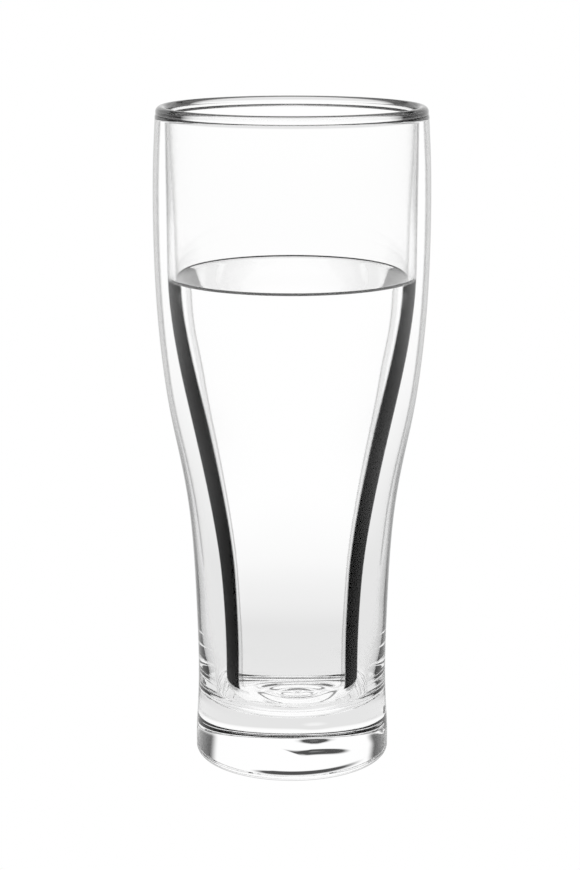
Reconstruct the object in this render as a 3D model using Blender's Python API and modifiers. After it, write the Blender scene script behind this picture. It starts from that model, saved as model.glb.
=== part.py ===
"""Double-walled pint glass: an outer shell on a thick solid base, an inner vessel whose rim bead
closes the space between the walls, and the glass pip that seals the vent in the base.

Metres, +Z up. The origin is at the middle of the underside, on the surface that the glass stands on.
"""

import math

import bpy
import numpy as np

# Outside of the shell: heights are from the table, or down from the top of the rim
TOTAL_HEIGHT = 0.200
FOOT_RADIUS = 0.02985
WAIST_RADIUS = 0.02900
WAIST_HEIGHT = 0.030
NECK_RADIUS = 0.02990
NECK_HEIGHT = 0.060
FLARE_FOOT_RADIUS = 0.03140
FLARE_FOOT_HEIGHT = 0.078
FLARE_RADIUS = 0.03380
FLARE_HEIGHT = 0.093
FLARE_TOP_RADIUS = 0.03680
FLARE_TOP_HEIGHT = 0.108
SHOULDER_RADIUS = 0.03925
SHOULDER_HEIGHT = 0.126
BELLY_RADIUS = 0.04133
BELLY_BELOW_TOP = 0.031
RIM_RADIUS = 0.0402

# Base
BASE_THICKNESS = 0.0180
FOOT_FILLET = 0.0024
FOOT_RING_WIDTH = 0.0040
UNDERSIDE_RECESS = 0.0010
VENT_RADIUS = 0.0020
PIP_HEIGHT = 0.0060

# Walls, and the air space between them
SHELL_WALL = 0.00115
SHELL_WALL_AT_NECK = 0.0023
SHELL_WALL_AT_BASE = 0.0046
AIR_GAP_AT_TOP = 0.0019
AIR_GAP_AT_BELLY = 0.0028
AIR_GAP_AT_FLARE = 0.0044
AIR_GAP_AT_FOOT = 0.0049
VESSEL_WALL = 0.0024
VESSEL_WALL_AT_TOP = 0.0006
BEAD_HEIGHT = 0.0025
FLOOR_GAP = 0.0008
FLOOR_THICKNESS = 0.0020
SHELL_CORNER = 0.0060
VESSEL_CORNER = 0.0040

CLEARANCE = 0.0003
TURN_STEPS = 48
WALL_POINTS = 15


def clear_scene():
    for thing in list(bpy.data.objects):
        bpy.data.objects.remove(thing, do_unlink=True)


def smooth_curve(stations):
    """A function of height: the natural cubic spline through (height, value) stations."""
    heights, values = np.array(sorted(stations)).T
    steps = np.diff(heights)
    slopes = np.diff(values) / steps
    count = len(heights)
    matrix = np.eye(count)
    right = np.zeros(count)
    for i in range(1, count - 1):
        matrix[i, i - 1:i + 2] = steps[i - 1], 2 * (steps[i - 1] + steps[i]), steps[i]
        right[i] = 6 * (slopes[i] - slopes[i - 1])
    bends = np.linalg.solve(matrix, right)

    def value(height):
        i = int(np.clip(np.searchsorted(heights, height) - 1, 0, count - 2))
        below = height - heights[i]
        above = heights[i + 1] - height
        cubic = bends[i] * above**3 + bends[i + 1] * below**3
        left = (values[i] / steps[i] - bends[i] * steps[i] / 6) * above
        right_part = (values[i + 1] / steps[i] - bends[i + 1] * steps[i] / 6) * below
        return float(cubic / (6 * steps[i]) + left + right_part)

    return value


BELLY_HEIGHT = TOTAL_HEIGHT - BELLY_BELOW_TOP
BEAD_UNDERSIDE = TOTAL_HEIGHT - BEAD_HEIGHT

outside_radius = smooth_curve([
    (FOOT_FILLET, FOOT_RADIUS),
    (WAIST_HEIGHT, WAIST_RADIUS),
    (NECK_HEIGHT, NECK_RADIUS),
    (FLARE_FOOT_HEIGHT, FLARE_FOOT_RADIUS),
    (FLARE_HEIGHT, FLARE_RADIUS),
    (FLARE_TOP_HEIGHT, FLARE_TOP_RADIUS),
    (SHOULDER_HEIGHT, SHOULDER_RADIUS),
    (BELLY_HEIGHT, BELLY_RADIUS),
    (TOTAL_HEIGHT, RIM_RADIUS),
])


def eased(height, stations):
    """The value at a height, passing smoothly from each station to the next."""
    heights, values = zip(*stations)
    if height <= heights[0]:
        return values[0]
    for low, high, first, last in zip(heights, heights[1:], values, values[1:]):
        if height <= high:
            share = (height - low) / (high - low)
            return first + (last - first) * share * share * (3 - 2 * share)
    return values[-1]


def shell_wall(height):
    return eased(height, [
        (BASE_THICKNESS, SHELL_WALL_AT_BASE),
        (NECK_HEIGHT, SHELL_WALL_AT_NECK),
        (SHOULDER_HEIGHT, SHELL_WALL),
    ])


def air_gap(height):
    return eased(height, [
        (WAIST_HEIGHT, AIR_GAP_AT_FOOT),
        (FLARE_HEIGHT, AIR_GAP_AT_FLARE),
        (BELLY_HEIGHT, AIR_GAP_AT_BELLY),
        (BEAD_UNDERSIDE, AIR_GAP_AT_TOP),
    ])


def shell_inside_radius(height):
    return outside_radius(height) - shell_wall(height)


def vessel_outside_radius(height):
    return shell_inside_radius(height) - air_gap(height)


def vessel_inside_radius(height):
    """The wall keeps its thickness up to the shoulder, then thins towards the bead."""
    wall = eased(height, [(SHOULDER_HEIGHT, VESSEL_WALL), (BEAD_UNDERSIDE, VESSEL_WALL_AT_TOP)])
    return vessel_outside_radius(min(height, BEAD_UNDERSIDE)) - wall


def wall_points(radius_at, low, high):
    """(radius, height) points up a wall, from low to high."""
    return [(radius_at(z), z) for z in np.linspace(low, high, WALL_POINTS)]


def arc(centre, radius, start, end, count):
    """(radius, height) points on an arc, with angles in degrees from straight outwards."""
    angles = np.radians(np.linspace(start, end, count))
    return [(centre[0] + radius * math.cos(a), centre[1] + radius * math.sin(a)) for a in angles]


def glass_material(name, roughness):
    material = bpy.data.materials.new(name)
    material.use_nodes = True
    shader = material.node_tree.nodes["Principled BSDF"]
    shader.inputs["Base Color"].default_value = (0.93, 0.96, 0.96, 1)
    shader.inputs["Metallic"].default_value = 0
    shader.inputs["Roughness"].default_value = roughness
    shader.inputs["IOR"].default_value = 1.5
    shader.inputs["Transmission Weight"].default_value = 1
    return material


def turned(name, profile, closed, material, collection):
    """A solid turned about the Z axis. The profile runs down its outer side, top to bottom."""
    edges = [(i, i + 1) for i in range(len(profile) - 1)]
    if closed:
        edges.append((len(profile) - 1, 0))
    mesh = bpy.data.meshes.new(name)
    mesh.from_pydata([(radius, 0, height) for radius, height in profile], edges, [])
    mesh.materials.append(material)
    thing = bpy.data.objects.new(name, mesh)
    collection.objects.link(thing)
    screw = thing.modifiers.new("turn", "SCREW")
    screw.axis = "Z"
    screw.angle = math.tau
    screw.steps = TURN_STEPS
    screw.render_steps = TURN_STEPS
    screw.use_merge_vertices = True
    screw.merge_threshold = 0.00001
    screw.use_smooth_shade = True
    return thing


def outer_shell(collection):
    top = BEAD_UNDERSIDE - CLEARANCE
    recess_radius = FOOT_RADIUS - FOOT_FILLET - FOOT_RING_WIDTH
    corner_height = BASE_THICKNESS + SHELL_CORNER
    corner_radius = shell_inside_radius(corner_height) - SHELL_CORNER
    foot_corner = (FOOT_RADIUS - FOOT_FILLET, FOOT_FILLET)
    profile = wall_points(outside_radius, FOOT_FILLET, top)[::-1]
    profile += arc(foot_corner, FOOT_FILLET, 0, -90, 6)[1:]
    profile += [(recess_radius, 0), (recess_radius - UNDERSIDE_RECESS, UNDERSIDE_RECESS)]
    profile += [(VENT_RADIUS, UNDERSIDE_RECESS), (VENT_RADIUS, BASE_THICKNESS)]
    profile += arc((corner_radius, corner_height), SHELL_CORNER, -90, 0, 6)[:-1]
    profile += wall_points(shell_inside_radius, corner_height, top)
    return turned("outer_shell", profile, True, glass_material("shell_glass", 0.02), collection)


def inner_vessel(collection):
    underside = BASE_THICKNESS + FLOOR_GAP
    floor = underside + FLOOR_THICKNESS
    outer_corner_height = underside + VESSEL_CORNER + VESSEL_WALL
    inner_corner_height = floor + VESSEL_CORNER
    outer_corner = VESSEL_CORNER + VESSEL_WALL
    outer_corner_radius = vessel_outside_radius(outer_corner_height) - outer_corner
    inner_corner_radius = vessel_inside_radius(inner_corner_height) - VESSEL_CORNER
    bead_round = (RIM_RADIUS - vessel_inside_radius(TOTAL_HEIGHT)) / 2
    bead_centre = (RIM_RADIUS - bead_round, TOTAL_HEIGHT - bead_round)
    profile = [(0, floor)]
    profile += arc((inner_corner_radius, inner_corner_height), VESSEL_CORNER, -90, 0, 6)[:-1]
    profile += wall_points(vessel_inside_radius, inner_corner_height, bead_centre[1])[:-1]
    profile += arc(bead_centre, bead_round, 180, 0, 11)
    profile += [(outside_radius(BEAD_UNDERSIDE), BEAD_UNDERSIDE)]
    profile += wall_points(vessel_outside_radius, outer_corner_height, BEAD_UNDERSIDE)[::-1]
    profile += arc((outer_corner_radius, outer_corner_height), outer_corner, 0, -90, 7)[1:]
    profile += [(0, underside)]
    return turned("inner_vessel", profile, False, glass_material("vessel_glass", 0.02), collection)


def vent_seal(collection):
    """A plug of glass run into the vent, domed at both ends."""
    radius = VENT_RADIUS - CLEARANCE
    dome_bottom = UNDERSIDE_RECESS / 2
    shoulder = dome_bottom + radius / 2
    top_shoulder = shoulder + PIP_HEIGHT
    profile = [(radius * math.cos(a), top_shoulder + radius / 2 * math.sin(a))
               for a in np.linspace(math.pi / 2, 0, 6)]
    profile += [(radius * math.cos(a), shoulder - radius / 2 * math.sin(a))
                for a in np.linspace(0, math.pi / 2, 6)]
    profile[0] = (0, profile[0][1])
    profile[-1] = (0, profile[-1][1])
    return turned("vent_seal", profile, False, glass_material("seal_glass", 0.1), collection)


def main():
    clear_scene()
    collection = bpy.data.collections.new("pint_glass")
    bpy.context.scene.collection.children.link(collection)
    outer_shell(collection)
    inner_vessel(collection)
    vent_seal(collection)


main()
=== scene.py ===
# Double-walled pint glass with water in it. Lengths are in mm until a piece is made.
import math

import bpy
import numpy as np
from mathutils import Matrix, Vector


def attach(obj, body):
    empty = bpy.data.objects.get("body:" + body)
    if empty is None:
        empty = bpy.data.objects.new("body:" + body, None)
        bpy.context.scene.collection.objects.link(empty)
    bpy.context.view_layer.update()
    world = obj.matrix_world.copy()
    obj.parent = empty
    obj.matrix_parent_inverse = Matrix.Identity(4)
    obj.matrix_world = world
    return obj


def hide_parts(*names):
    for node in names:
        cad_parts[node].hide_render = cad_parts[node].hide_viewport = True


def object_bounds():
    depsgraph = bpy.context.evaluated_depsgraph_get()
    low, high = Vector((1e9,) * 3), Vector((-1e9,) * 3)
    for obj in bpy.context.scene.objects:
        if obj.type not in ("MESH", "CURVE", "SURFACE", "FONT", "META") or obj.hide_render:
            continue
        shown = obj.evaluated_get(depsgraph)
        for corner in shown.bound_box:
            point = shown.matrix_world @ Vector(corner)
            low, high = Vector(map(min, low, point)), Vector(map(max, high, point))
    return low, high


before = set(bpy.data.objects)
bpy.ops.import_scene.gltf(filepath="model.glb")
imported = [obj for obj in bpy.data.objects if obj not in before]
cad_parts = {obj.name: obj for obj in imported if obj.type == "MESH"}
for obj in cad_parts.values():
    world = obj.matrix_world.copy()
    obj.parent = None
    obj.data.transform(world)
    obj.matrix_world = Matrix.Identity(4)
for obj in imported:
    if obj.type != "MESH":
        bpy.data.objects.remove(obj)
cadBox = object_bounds()
print("frame loaded:", len(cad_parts), "nodes")

mm = 0.001
totalHeight = cadBox[1][2] / mm
# how finely the profiles are turned; a point within onPlane of a flat face's height belongs to that face
turning = {"around": 288, "alongWall": 170, "alongArc": 16, "leastStep": 1e-4, "onPlane": 0.01}


# A natural cubic spline through (height, value) stations, as a function of an array of heights.
def throughStations(stations):
    known, values = np.array(stations, float).T
    steps = np.diff(known)
    slopes = np.diff(values) / steps
    matrix = np.diag(np.concatenate([[1], 2 * (steps[:-1] + steps[1:]), [1]]))
    matrix += np.diag(np.concatenate([[0], steps[1:]]), 1)
    matrix += np.diag(np.concatenate([steps[:-1], [0]]), -1)
    bends = np.linalg.solve(matrix, np.concatenate([[0], 6 * np.diff(slopes), [0]]))

    def at(heights):
        heights = np.asarray(heights, float)
        i = np.clip(np.searchsorted(known, heights) - 1, 0, len(steps) - 1)
        below, above, step = heights - known[i], known[i + 1] - heights, steps[i]
        curved = (bends[i] * above**3 + bends[i + 1] * below**3) / (6 * step)
        fromLow = (values[i] / step - bends[i] * step / 6) * above
        fromHigh = (values[i + 1] / step - bends[i + 1] * step / 6) * below
        return curved + fromLow + fromHigh

    return at


# (radius, height) points up a wall.
def up(radiusAt, low, high):
    heights = np.linspace(low, high, turning["alongWall"])
    return np.stack([radiusAt(heights), heights], 1)


# (radius, height) points on a circle: centre + radius (cos a, sin a), a in degrees from straight outwards.
def arc(centre, radius, start, end):
    angles = np.radians(np.linspace(start, end, turning["alongArc"]))
    return np.stack([centre[0] + radius * np.cos(angles), centre[1] + radius * np.sin(angles)], 1)


# Evenly spaced points on a straight stretch.
def flat(first, last, count=6):
    return np.linspace(first, last, count)


# A profile swung round the axis: (r cos a, r sin a, z). It starts and ends on the axis, in one point each.
# Each section is (points, finish name); uneven turns the whole grid's x, y, z into slightly worn ones.
def turned(name, sections, finishes, uneven=None):
    keys = list(finishes)
    profile = np.concatenate([points for points, key in sections])
    finishOf = np.concatenate([np.full(len(points), keys.index(key)) for points, key in sections])
    keep = np.ones(len(profile), bool)
    keep[:-1] = np.hypot(*np.diff(profile, axis=0).T) > turning["leastStep"]
    profile, finishOf = profile[keep], finishOf[keep]
    around, rowCount = turning["around"], len(profile) - 2
    angles = np.linspace(0, 2 * np.pi, around, endpoint=False)
    radii, heights = profile[1:-1, :1], profile[1:-1, 1:]
    grid = np.stack([radii * np.cos(angles), radii * np.sin(angles), heights + 0 * angles], 2).reshape(-1, 3)
    poles = [[0, 0, profile[0, 1]], [0, 0, profile[-1, 1]]]
    points = np.concatenate([grid, poles])
    if uneven:
        points = np.stack(uneven(*points.T), 1)
    column = np.arange(around)
    right = (column + 1) % around
    rows = np.arange(rowCount - 1)[:, None] * around
    quads = np.stack([rows + column, rows + around + column, rows + around + right, rows + right], 2)
    first, last = len(grid), (rowCount - 1) * around
    topFan = np.stack([np.full(around, first), column, right], 1)
    bottomFan = np.stack([np.full(around, first + 1), last + right, last + column], 1)
    mesh = bpy.data.meshes.new(name)
    faces = quads.reshape(-1, 4).tolist() + topFan.tolist() + bottomFan.tolist()
    mesh.from_pydata((points * mm).tolist(), [], faces)
    for material in finishes.values():
        mesh.materials.append(material)
    inner = np.repeat(finishOf[1:rowCount], around)
    ends = np.repeat([finishOf[0], finishOf[-1]], around)
    mesh.polygons.foreach_set("material_index", np.concatenate([inner, ends]).astype(np.int32))
    mesh.shade_smooth()
    piece = bpy.data.objects.new(name, mesh)
    bpy.context.scene.collection.objects.link(piece)
    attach(piece, "root")
    print("made", name)
    return piece


# A socket that does sums: each operator adds its Math node. node() adds any other and lists its outputs.
class Wire:
    def __init__(self, tree, socket=None):
        self.tree, self.socket = tree, socket

    def node(self, kind, settings, *values):
        made = self.tree.nodes.new(kind)
        for name, value in settings.items():
            if name == "stops":
                while len(made.color_ramp.elements) < len(value):
                    made.color_ramp.elements.new(0.5)
                for element, (place, bright) in zip(made.color_ramp.elements, value):
                    element.position = place
                    element.color = (bright, bright, bright, 1)
            else:
                setattr(made, name, value)
        for socket, value in zip(made.inputs, values):
            if isinstance(value, Wire):
                self.tree.links.new(value.socket, socket)
            elif value is not None:
                socket.default_value = value
        return [Wire(self.tree, output) for output in made.outputs]

    def math(self, operation, *values):
        return self.node("ShaderNodeMath", {"operation": operation}, *values)[0]

    def __add__(self, other):
        return self.math("ADD", self, other)

    def __radd__(self, other):
        return self.math("ADD", other, self)

    def __sub__(self, other):
        return self.math("SUBTRACT", self, other)

    def __rsub__(self, other):
        return self.math("SUBTRACT", other, self)

    def __mul__(self, other):
        return self.math("MULTIPLY", self, other)

    def __rmul__(self, other):
        return self.math("MULTIPLY", other, self)

    def __truediv__(self, other):
        return self.math("DIVIDE", self, other)

    def ramp(self, stops):
        return self.node("ShaderNodeValToRGB", {"stops": stops}, self)[0]

    def step(self, low, high):
        settings = {"interpolation_type": "SMOOTHSTEP"}
        return self.node("ShaderNodeMapRange", settings, self, low, high, 0.0, 1.0)[0]

    def into(self, socket):
        self.tree.links.new(self.socket, socket)


# Clear glass or water, of an even tint; a tint below 1 is an even painted darkness. The shade stops are
# (turned away, brightness) stops of painted shade: they darken the colour as a surface turns from square on
# to the viewer, 0, to edge on, 1, seen from either side or, with entering, from outside. The dark band is
# painted shade too: it makes a wall opaque and dark, seen from outside, from some turn up to its outline:
# from is that turn and dark is the brightness it keeps, both as (height, value) stations up to the height
# top.
def clear(name, index, paintedShades=None, entering=False, paintedDarkBand=None, paintedTint=1.0):
    material = bpy.data.materials.new(name)
    material.use_nodes = True
    tree = material.node_tree
    shader = tree.nodes["Principled BSDF"].inputs
    shader["Roughness"].default_value = 0
    shader["IOR"].default_value = index
    shader["Transmission Weight"].default_value = 1
    shader["Specular Tint"].default_value = (0, 0, 0, 1)
    shader["Base Color"].default_value = (paintedTint, paintedTint, paintedTint, 1)
    if paintedShades:
        blank = Wire(tree)
        turnedAway = blank.node("ShaderNodeLayerWeight", {}, 0.5)[1]  # Facing
        fromOutside = 1 - blank.node("ShaderNodeNewGeometry", {})[6]  # Backfacing
        # painted shade: the colour darkens as the surface turns edge on to the viewer
        brightnessFactor = (turnedAway * fromOutside if entering else turnedAway).ramp(paintedShades)
        if paintedDarkBand:
            place = blank.node("ShaderNodeTexCoord", {})[3]  # Object
            height = blank.node("ShaderNodeSeparateXYZ", {}, place)[2] / (totalHeight * mm)
            limit = height.ramp([(z / totalHeight, value) for z, value in paintedDarkBand["from"]])
            dark = height.ramp([(z / totalHeight, value) for z, value in paintedDarkBand["dark"]])
            low, high = paintedDarkBand["top"] - paintedDarkBand["fade"], paintedDarkBand["top"] + paintedDarkBand["fade"]
            below = 1 - height.step(low / totalHeight, high / totalHeight)
            # painted shade: below the top and beyond the set turn, the wall becomes dark metal, a band drawn
            # by viewing angle
            mask = (turnedAway - limit).step(-paintedDarkBand["soft"], paintedDarkBand["soft"]) * fromOutside * below
            mask.into(shader["Metallic"])
            brightnessFactor = brightnessFactor * (1 - mask) + dark * mask
        brightnessFactor.into(shader["Base Color"])
    return material


# The outer shell's lengths are radii at heights, unless they say otherwise.
shell = {
    "outline": [(2.4, 29.76), (8, 29.72), (16, 29.28), (30, 28.96), (46, 29.35), (62, 30.05), (78, 31.4),
                (93, 33.8), (108, 36.8), (123, 38.96), (138, 40.34), (155, 41.13), (169, 41.3), (185, 41.0),
                (196, 40.42), (200, 40.2)],
    "wall": [(18, 5.0), (24, 4.4), (32, 3.6), (45, 2.9), (62, 2.2), (78, 1.75), (100, 1.3), (125, 1.15),
             (200, 1.15)],
    "footFillet": 2.4,
    "footRing": 4.5,
    "recess": 0.5,
    "floorHeight": 18.0,
    "floorCorner": 6.0,
    "topEdge": 0.35,
    "jointHeight": 197.5,
    "intoBead": 0.05,
    "floorPoints": 30,
    "undersidePoints": 60,
    # painted shade: each stop list darkens a finish's colour as it turns edge on to the viewer, drawing dark
    # outlines
    "outsidePaintedShades": [(0.0, 1), (0.72, 1), (0.77, 0.35), (0.85, 0.22), (0.89, 0.03), (1.0, 0.0)],
    "insidePaintedShades": [(0.0, 1), (0.79, 1), (0.84, 0.05), (1.0, 0.0)],
    "lowerPaintedShades": [(0.0, 1), (0.8, 1), (0.86, 0.4), (1.0, 0.2)],
    "clearBelow": 60.0,
    "footPaintedShades": [(0.0, 1), (0.5, 1), (0.8, 0.2), (1.0, 0.0)],
    # the ridge that winds out across the underside: its height, half width, first radius, growth in mm for
    # each turned degree, where it starts and ends in degrees from the back, clockwise from above, over how
    # many degrees it fades at either end, and how far its middle lies off the axis
    "swirl": {"depth": 0.24, "width": 4.2, "first": 7.0, "growth": 0.045, "start": -25, "end": 245,
              "fadeIn": 30, "fadeOut": 40, "across": 2.5},
    # a fold left in the back of the foot: depth, width, place, and the radius it lies outside of
    "fold": {"depth": 0.35, "width": 1.1, "across": 2.3, "height": 2.6, "beyond": 27},
}
outside = throughStations(shell["outline"])
shellWall = throughStations(shell["wall"])


def shellInside(heights):
    return outside(heights) - shellWall(heights)


# The ridge is depth exp(-(r - first - growth a)^2 / width^2), fading in and out along its winding;
# the fold is a dent exp(-distance^2 / width^2), pushed inwards.
def wornShell(x, y, z):
    s = shell["swirl"]
    radius = np.hypot(x, y)
    winding = (np.degrees(np.arctan2(x - s["across"], y)) - s["start"]) % 360
    fadeIn = np.clip(winding / s["fadeIn"], 0, 1)
    fadeOut = np.clip((s["end"] - s["start"] - winding) / s["fadeOut"], 0, 1)
    off = np.hypot(x - s["across"], y) - s["first"] - s["growth"] * winding
    lower = np.abs(z - shell["recess"]) < turning["onPlane"]
    z = np.where(lower, z + s["depth"] * np.exp(-(off / s["width"]) ** 2) * (fadeIn * fadeOut), z)
    f = shell["fold"]
    away = ((x - f["across"]) ** 2 + (z - f["height"]) ** 2) / f["width"] ** 2
    dent = np.where((y > 0) & (radius > f["beyond"]), f["depth"] * np.exp(-away), 0)
    return x, y - dent, z


def makeShell():
    s = shell
    cornerTop = s["floorHeight"] + s["floorCorner"]
    cornerMiddle = shellInside(cornerTop) - s["floorCorner"]
    footMiddle = outside(s["footFillet"]) - s["footFillet"]
    ringInside = footMiddle - s["footRing"]
    top, edge = s["jointHeight"] + s["intoBead"], s["topEdge"]
    sections = [
        (flat((0, s["floorHeight"]), (cornerMiddle, s["floorHeight"]), s["floorPoints"]), "base"),
        (arc((cornerMiddle, cornerTop), s["floorCorner"], -90, 0), "base"),
        (up(shellInside, cornerTop, s["clearBelow"]), "base"),
        (up(shellInside, s["clearBelow"], top), "inside"),
        (arc((outside(top) - edge, top - edge), edge, 90, 0), "outside"),
        (up(outside, s["clearBelow"], top - edge)[::-1], "outside"),
        (up(outside, s["footFillet"], s["clearBelow"])[::-1], "lower"),
        (arc((footMiddle, s["footFillet"]), s["footFillet"], 0, -90), "foot"),
        (arc((ringInside, s["recess"]), s["recess"], -90, -180), "base"),
        (flat((ringInside - s["recess"], s["recess"]), (0, s["recess"]), s["undersidePoints"]), "base"),
    ]
    # painted shade on the outside, inside, lower and foot finishes; the base is left clear
    finishes = {
        "outside": clear("shellOutside", 1.5, s["outsidePaintedShades"]),
        "inside": clear("shellInside", 1.5, s["insidePaintedShades"]),
        "lower": clear("shellLower", 1.5, s["lowerPaintedShades"]),
        "foot": clear("shellFoot", 1.5, s["footPaintedShades"]),
        "base": clear("shellBase", 1.5),
    }
    piece = turned("outerGlass", sections, finishes, wornShell)
    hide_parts("outer_shell")


# The inner vessel, with the rim bead. beadInside is the height where the bead's inner radius is read.
vessel = {
    "outside": [(16, 20.3), (20, 20.75), (30, 20.7), (46, 21.15), (62, 22.4), (78, 24.85), (93, 27.75),
                (108, 30.9), (123, 34.0), (134, 35.8), (146, 37.0), (160, 37.25), (180, 37.4), (200, 37.45)],
    "inside": [(18, 17.9), (22, 18.3), (30, 18.3), (46, 18.9), (62, 20.2), (78, 22.7), (93, 25.6),
               (108, 28.7), (123, 31.7), (134, 33.6), (146, 34.7), (152, 34.95), (165, 35.3), (180, 36.0),
               (195, 36.75), (200, 37.0)],
    "underside": 18.8,
    "floor": 20.8,
    "outerCorner": 5.5,
    "innerCorner": 4.0,
    "undersidePoints": 50,
    "beadInside": 198.3,
    "beadOutside": 40.2,
    # painted shade: these stop lists darken each finish's colour as it turns edge on to the viewer
    "outsidePaintedShades": [(0.0, 1), (0.80, 1), (0.9, 0.4), (1.0, 0.2)],
    "insidePaintedShades": [(0.0, 1), (0.74, 1), (0.84, 0.25), (1.0, 0.05)],
    "beadPaintedShades": [(0.0, 1), (0.3, 1), (0.42, 0.02), (1.0, 0.0)],
    # painted shade: the dark band down the sides of the water, drawn by viewing angle on the vessel's
    # outside
    "paintedDarkBand": {"from": [(62, 0.45), (107, 0.5), (140, 0.56)],
             "dark": [(25, 0.01), (62, 0.01), (107, 0.07), (136, 0.04), (142, 0.11), (145, 0.18),
                      (147.3, 0.18), (148, 0)],
             "soft": 0.02, "top": 149.5, "fade": 0.5},
    # rings pressed in the underside of the floor: depth, distance apart, how far out they go, and middle
    "rings": {"depth": 0.13, "apart": 6.0, "reach": 12.5, "middle": (1.2, -0.8)},
}
vesselOutside = throughStations(vessel["outside"])
vesselInside = throughStations(vessel["inside"])


# The floor's underside ripples in rings, depth sin(2 pi r / apart) (1 - (r / reach)^4), a little off centre.
def wornVessel(x, y, z):
    r = vessel["rings"]
    radius = np.hypot(x - r["middle"][0], y - r["middle"][1])
    fade = np.clip(1 - (radius / r["reach"]) ** 4, 0, 1)
    ripple = r["depth"] * np.sin(2 * np.pi * radius / r["apart"]) * fade
    lower = np.abs(z - vessel["underside"]) < turning["onPlane"]
    return x, y, np.where(lower, z + ripple, z)


def makeVessel():
    v = vessel
    beadRound = (v["beadOutside"] - vesselInside(v["beadInside"])) / 2
    beadMiddle = (v["beadOutside"] - beadRound, totalHeight - beadRound)
    innerTop, outerTop = v["floor"] + v["innerCorner"], v["underside"] + v["outerCorner"]
    innerMiddle = vesselInside(innerTop) - v["innerCorner"]
    outerMiddle = vesselOutside(outerTop) - v["outerCorner"]
    edge, under = shell["topEdge"], shell["jointHeight"]
    sections = [
        (flat((0, v["floor"]), (innerMiddle, v["floor"])), "bottom"),
        (arc((innerMiddle, innerTop), v["innerCorner"], -90, 0), "bottom"),
        (up(vesselInside, innerTop, beadMiddle[1]), "inside"),
        (arc(beadMiddle, beadRound, 180, 0), "bead"),
        (arc((v["beadOutside"] - edge, under + edge), edge, 0, -90), "bead"),
        (flat((v["beadOutside"] - edge, under), (vesselOutside(under), under)), "bead"),
        (up(vesselOutside, outerTop, under)[::-1], "outside"),
        (arc((outerMiddle, outerTop), v["outerCorner"], 0, -90), "bottom"),
        (flat((outerMiddle, v["underside"]), (0, v["underside"]), v["undersidePoints"]), "bottom"),
    ]
    finishes = {
        "inside": clear("vesselInside", 1.5, v["insidePaintedShades"]),
        # painted shade: dark outlines and the painted dark band on the vessel's outside
        "outside": clear("vesselOutside", 1.5, v["outsidePaintedShades"], paintedDarkBand=v["paintedDarkBand"]),
        "bead": clear("rimBead", 1.5, v["beadPaintedShades"]),
        "bottom": clear("vesselBottom", 1.5),
    }
    piece = turned("innerGlass", sections, finishes, wornVessel)
    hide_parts("inner_vessel")


seal = {"radius": 3.0, "low": 0.12, "high": 0.46}


# The vent's glass has run together with the base, which leaves only a flat button in the recess.
def makeSeal():
    middle, half = (seal["low"] + seal["high"]) / 2, (seal["high"] - seal["low"]) / 2
    side = arc((seal["radius"] - half, middle), half, 90, -90)
    sections = [
        (flat((0, seal["high"]), side[0]), "seal"),
        (side, "seal"),
        (flat(side[-1], (0, seal["low"])), "seal"),
    ]
    piece = turned("ventPip", sections, {"seal": clear("sealGlass", 1.5)})
    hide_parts("vent_seal")


drink = {
    "level": 149.2,
    "climb": 0.8,
    "climbLength": 1.4,
    "climbReach": 9.0,
    "overlap": 0.1,
    "climbPoints": 40,
    "linePoints": 8,
    # painted shade: a thin grey streak drawn by viewing angle just inside the dark band
    "sidePaintedShades": [(0.0, 1), (0.183, 1), (0.188, 0.25), (0.193, 0.7), (0.205, 0.7), (0.212, 1), (1.0, 1)],
    "lineWidth": 0.5,
    "linePaintedTint": 0.03,
}


# The surface climbs the wall as climb exp(-distance / climbLength), with a dark line of painted shade,
# lineWidth wide, along its edge. The water runs a little into the glass.
def makeWater():
    w, v = drink, vessel
    innerTop = v["floor"] + v["innerCorner"]
    innerMiddle = vesselInside(innerTop) - v["innerCorner"]
    grow = w["overlap"]
    edge = vesselInside(w["level"]) + grow
    climbing, line = w["climbPoints"], w["linePoints"]
    climb = np.linspace(w["climbReach"], w["lineWidth"], climbing)
    reach = np.concatenate([climb, np.linspace(w["lineWidth"], 0, line)])
    surface = np.stack([edge - reach, w["level"] + w["climb"] * np.exp(-reach / w["climbLength"])], 1)
    wall = up(vesselInside, innerTop, w["level"])[::-1] + (grow, 0)
    sections = [
        (flat((0, w["level"]), surface[0]), "surface"),
        (surface[:climbing], "surface"),
        (surface[climbing:], "line"),
        (wall, "side"),
        (arc((innerMiddle, innerTop), v["innerCorner"] + grow, 0, -90), "bottom"),
        (flat((innerMiddle, v["floor"] - grow), (0, v["floor"] - grow)), "bottom"),
    ]
    finishes = {
        "surface": clear("waterSurface", 1.333),
        # painted shade: the edge line is an even near-black colour
        "line": clear("waterLine", 1.333, paintedTint=w["linePaintedTint"]),
        "side": clear("waterSide", 1.333, w["sidePaintedShades"], entering=True),
        "bottom": clear("waterBottom", 1.333),
    }
    turned("water", sections, finishes)


studio = {
    "floorHalf": 20.0,
    # how bright the surround is at each elevation, in degrees from straight down to straight up
    "bands": [(-90, 1), (-55, 1), (-45, 0.82), (-19.5, 0.78), (-17, 0.86), (-13, 0.95), (-8, 1),
              (23.5, 1), (26, 0.08), (30, 0.08), (32.5, 1), (90, 1)],
    # dark flags: azimuth from and to, elevation from and to, darkness; and how soft their edges are
    "flagSoftness": (5, 0.3),
    "flags": [(45, 95, 14, 23, 0.95), (-95, -45, 14, 23, 0.95)],
}


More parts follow.
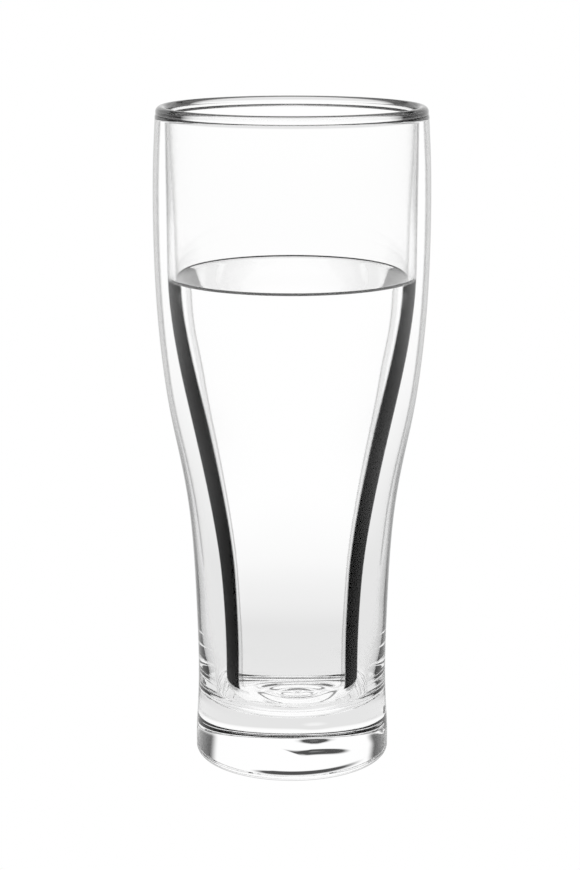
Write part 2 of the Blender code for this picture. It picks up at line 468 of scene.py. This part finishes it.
def makeFloor():
    half = studio["floorHalf"]
    mesh = bpy.data.meshes.new("floor")
    corners = [(-half, -half, 0), (half, -half, 0), (half, half, 0), (-half, half, 0)]
    mesh.from_pydata(corners, [], [(0, 1, 2, 3)])
    floor = bpy.data.objects.new("floor", mesh)
    bpy.context.scene.collection.objects.link(floor)
    material = bpy.data.materials.new("paleFloor")
    material.use_nodes = True
    shader = material.node_tree.nodes["Principled BSDF"].inputs
    shader["Base Color"].default_value = (0, 0, 0, 1)
    shader["Specular IOR Level"].default_value = 0
    shader["Emission Color"].default_value = (1, 1, 1, 1)
    shader["Emission Strength"].default_value = 1
    mesh.materials.append(material)
    floor.visible_transmission = False
    floor.visible_glossy = False
    print("made the floor")


# Brightness by elevation, times 1 - darkness inside each flag's soft-edged window.
def makeWorld():
    world = bpy.data.worlds.new("studio")
    bpy.context.scene.world = world
    world.use_nodes = True
    tree = world.node_tree
    blank = Wire(tree)
    x, y, z = blank.node("ShaderNodeSeparateXYZ", {}, blank.node("ShaderNodeTexCoord", {})[0])
    height = blank.math("ARCSINE", z) / math.pi + 0.5
    light = height.ramp([(elevation / 180 + 0.5, bright) for elevation, bright in studio["bands"]])
    azimuth = blank.math("ARCTAN2", x, y) * (180 / math.pi)
    elevation = (height - 0.5) * 180
    wide, tall = studio["flagSoftness"]
    for low, high, bottom, top, dark in studio["flags"]:
        across = azimuth.step(low - wide, low + wide) - azimuth.step(high - wide, high + wide)
        upright = elevation.step(bottom - tall, bottom + tall) - elevation.step(top - tall, top + tall)
        brightnessFactor = 1 - across * upright * dark
        light = light.node("ShaderNodeVectorMath", {"operation": "MULTIPLY"}, light, brightnessFactor)[0]
    background = tree.nodes["Background"].inputs
    light.into(background["Color"])
    background["Strength"].default_value = 1
    print("made the studio light")


# place is in metres and down, how far the view is tipped down, in radians
eye = {"lens": 92.65, "sensor": 36, "shift": -0.0023, "place": (0, -0.663056, 0.251681), "down": 0.2240}


def makeCamera():
    data = bpy.data.cameras.new("camera")
    camera = bpy.data.objects.new("camera", data)
    bpy.context.scene.collection.objects.link(camera)
    data.lens, data.sensor_width = eye["lens"], eye["sensor"]
    data.shift_x = eye["shift"]
    data.clip_start = 0.01
    camera.location = eye["place"]
    camera.rotation_euler = (math.pi / 2 - eye["down"], 0, 0)
    bpy.context.scene.camera = camera
    print("made the camera")


makeShell()
makeVessel()
makeSeal()
makeWater()
makeFloor()
makeWorld()
makeCamera()
scene = bpy.context.scene
bounces = {"all": 32, "throughGlass": 32, "glossy": 8}
scene.view_settings.view_transform = "Standard"
scene.cycles.max_bounces = bounces["all"]
scene.cycles.transmission_bounces = bounces["throughGlass"]
scene.cycles.glossy_bounces = bounces["glossy"]
print("set the light bounces")
